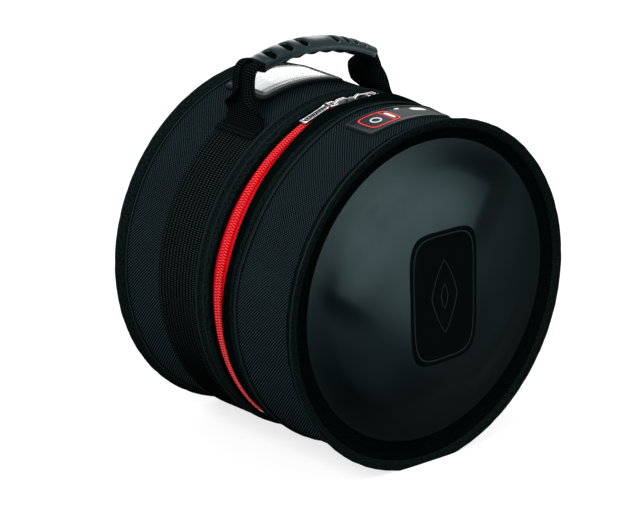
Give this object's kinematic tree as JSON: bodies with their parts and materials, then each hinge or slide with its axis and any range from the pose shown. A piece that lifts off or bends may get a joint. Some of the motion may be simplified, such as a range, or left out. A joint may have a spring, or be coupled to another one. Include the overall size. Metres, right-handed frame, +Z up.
{
  "type": "tom drum bag",
  "caption": "Round padded soft case for a tom drum, with a zipped lid on a cloth hinge, a webbing strap with a moulded carrying grip and a name card holder.",
  "frame": {"origin": "on the ground under the middle of the bag, which lies on its side on the flattened undersides of its two rims", "axes": "+Z up through the carrying handle, +Y along the axis of the drum from the lid to the base, +X to the right seen from the lid"},
  "size_m": [0.31, 0.2354, 0.3461],
  "materials": {
    "nylon": "matte ribbed black nylon cloth, coated on the back",
    "foam": "closed-cell foam padding",
    "lining": "smooth thin black lining cloth",
    "binding": "matte black woven binding tape over a stiff cord",
    "zip": "bright red zip tape and plastic coil",
    "metal": "polished nickel plating",
    "webbing": "black polypropylene webbing",
    "rubber": "soft moulded black rubber, satin",
    "window": "clear soft plastic window",
    "card": "plain white card",
    "vinyl": "dark grained vinyl with a soft shine",
    "patch": "black embroidery on the vinyl",
    "grip": "moulded dark rubber grip, satin"
  },
  "bodies": {
    "base": {"base_shell": "nylon", "base_end_panel": "nylon", "base_foam_wall": "foam", "base_foam_end": "foam", "base_lining": "lining", "base_rim_binding": "binding", "base_zip_binding": "binding", "strap_band": "webbing", "handle_foot_left": "webbing", "handle_foot_right": "webbing", "id_frame": "rubber", "id_window": "window", "zip_tape_base": "zip", "zip_coil_base": "zip", "zip_stop_left": "metal", "zip_stop_right": "metal", "hinge_panel": "nylon"},
    "lid": {"lid_shell": "nylon", "lid_end_panel": "vinyl", "lid_end_ring": "nylon", "lid_foam_wall": "foam", "lid_foam_end": "foam", "lid_lining": "lining", "lid_rim_binding": "binding", "lid_zip_binding": "binding", "zip_tape_lid": "zip", "zip_coil_lid": "zip", "badge": "rubber", "emblem": "patch"},
    "handle": {"grip": "grip", "handle_strap": "webbing"},
    "left_slider": {"slider_left": "metal"},
    "left_link": {"pull_link_left": "metal"},
    "left_tab": {"pull_tab_left": "metal"},
    "right_slider": {"slider_right": "metal"},
    "right_link": {"pull_link_right": "metal"},
    "right_tab": {"pull_tab_right": "metal"},
    "name_card": {"id_card": "card"}
  },
  "joints": [
    {"name": "lid_hinge", "type": "hinge", "parent": "base", "child": "lid", "pos_m": [0, -0.0142, 0.0036], "axis": [1, 0, 0], "range_deg": [0, 150], "deforming": ["hinge_panel"]},
    {"name": "handle_flop", "type": "hinge", "parent": "base", "child": "handle", "pos_m": [0, 0.0382, 0.29799], "axis": [1, 0, 0], "range_deg": [-60, 60]},
    {"name": "left_slider_run", "type": "hinge", "parent": "base", "child": "left_slider", "pos_m": [0, -0.0142, 0.152], "axis": [0, 1, 0], "range_deg": [-126, 0]},
    {"name": "left_link_swing", "type": "hinge", "parent": "left_slider", "child": "left_link", "pos_m": [-0.01629, -0.0142, 0.30279], "axis": [0, 1, 0], "range_deg": [0, 100]},
    {"name": "left_tab_swing", "type": "hinge", "parent": "left_link", "child": "left_tab", "pos_m": [-0.02457, -0.0142, 0.30223], "axis": [0, 1, 0], "range_deg": [0, 60]},
    {"name": "right_slider_run", "type": "hinge", "parent": "base", "child": "right_slider", "pos_m": [0, -0.0142, 0.152], "axis": [0, 1, 0], "range_deg": [0, 125]},
    {"name": "right_link_swing", "type": "hinge", "parent": "right_slider", "child": "right_link", "pos_m": [0.01892, -0.0142, 0.30248], "axis": [0, 1, 0], "range_deg": [-100, 0]},
    {"name": "right_tab_swing", "type": "hinge", "parent": "right_link", "child": "right_tab", "pos_m": [0.02719, -0.0142, 0.30178], "axis": [0, 1, 0], "range_deg": [-60, 0]},
    {"name": "card_slide", "type": "hinge", "parent": "base", "child": "name_card", "pos_m": [0, 0, 0.152], "axis": [0, 1, 0], "range_deg": [0, 36]}
  ]
}
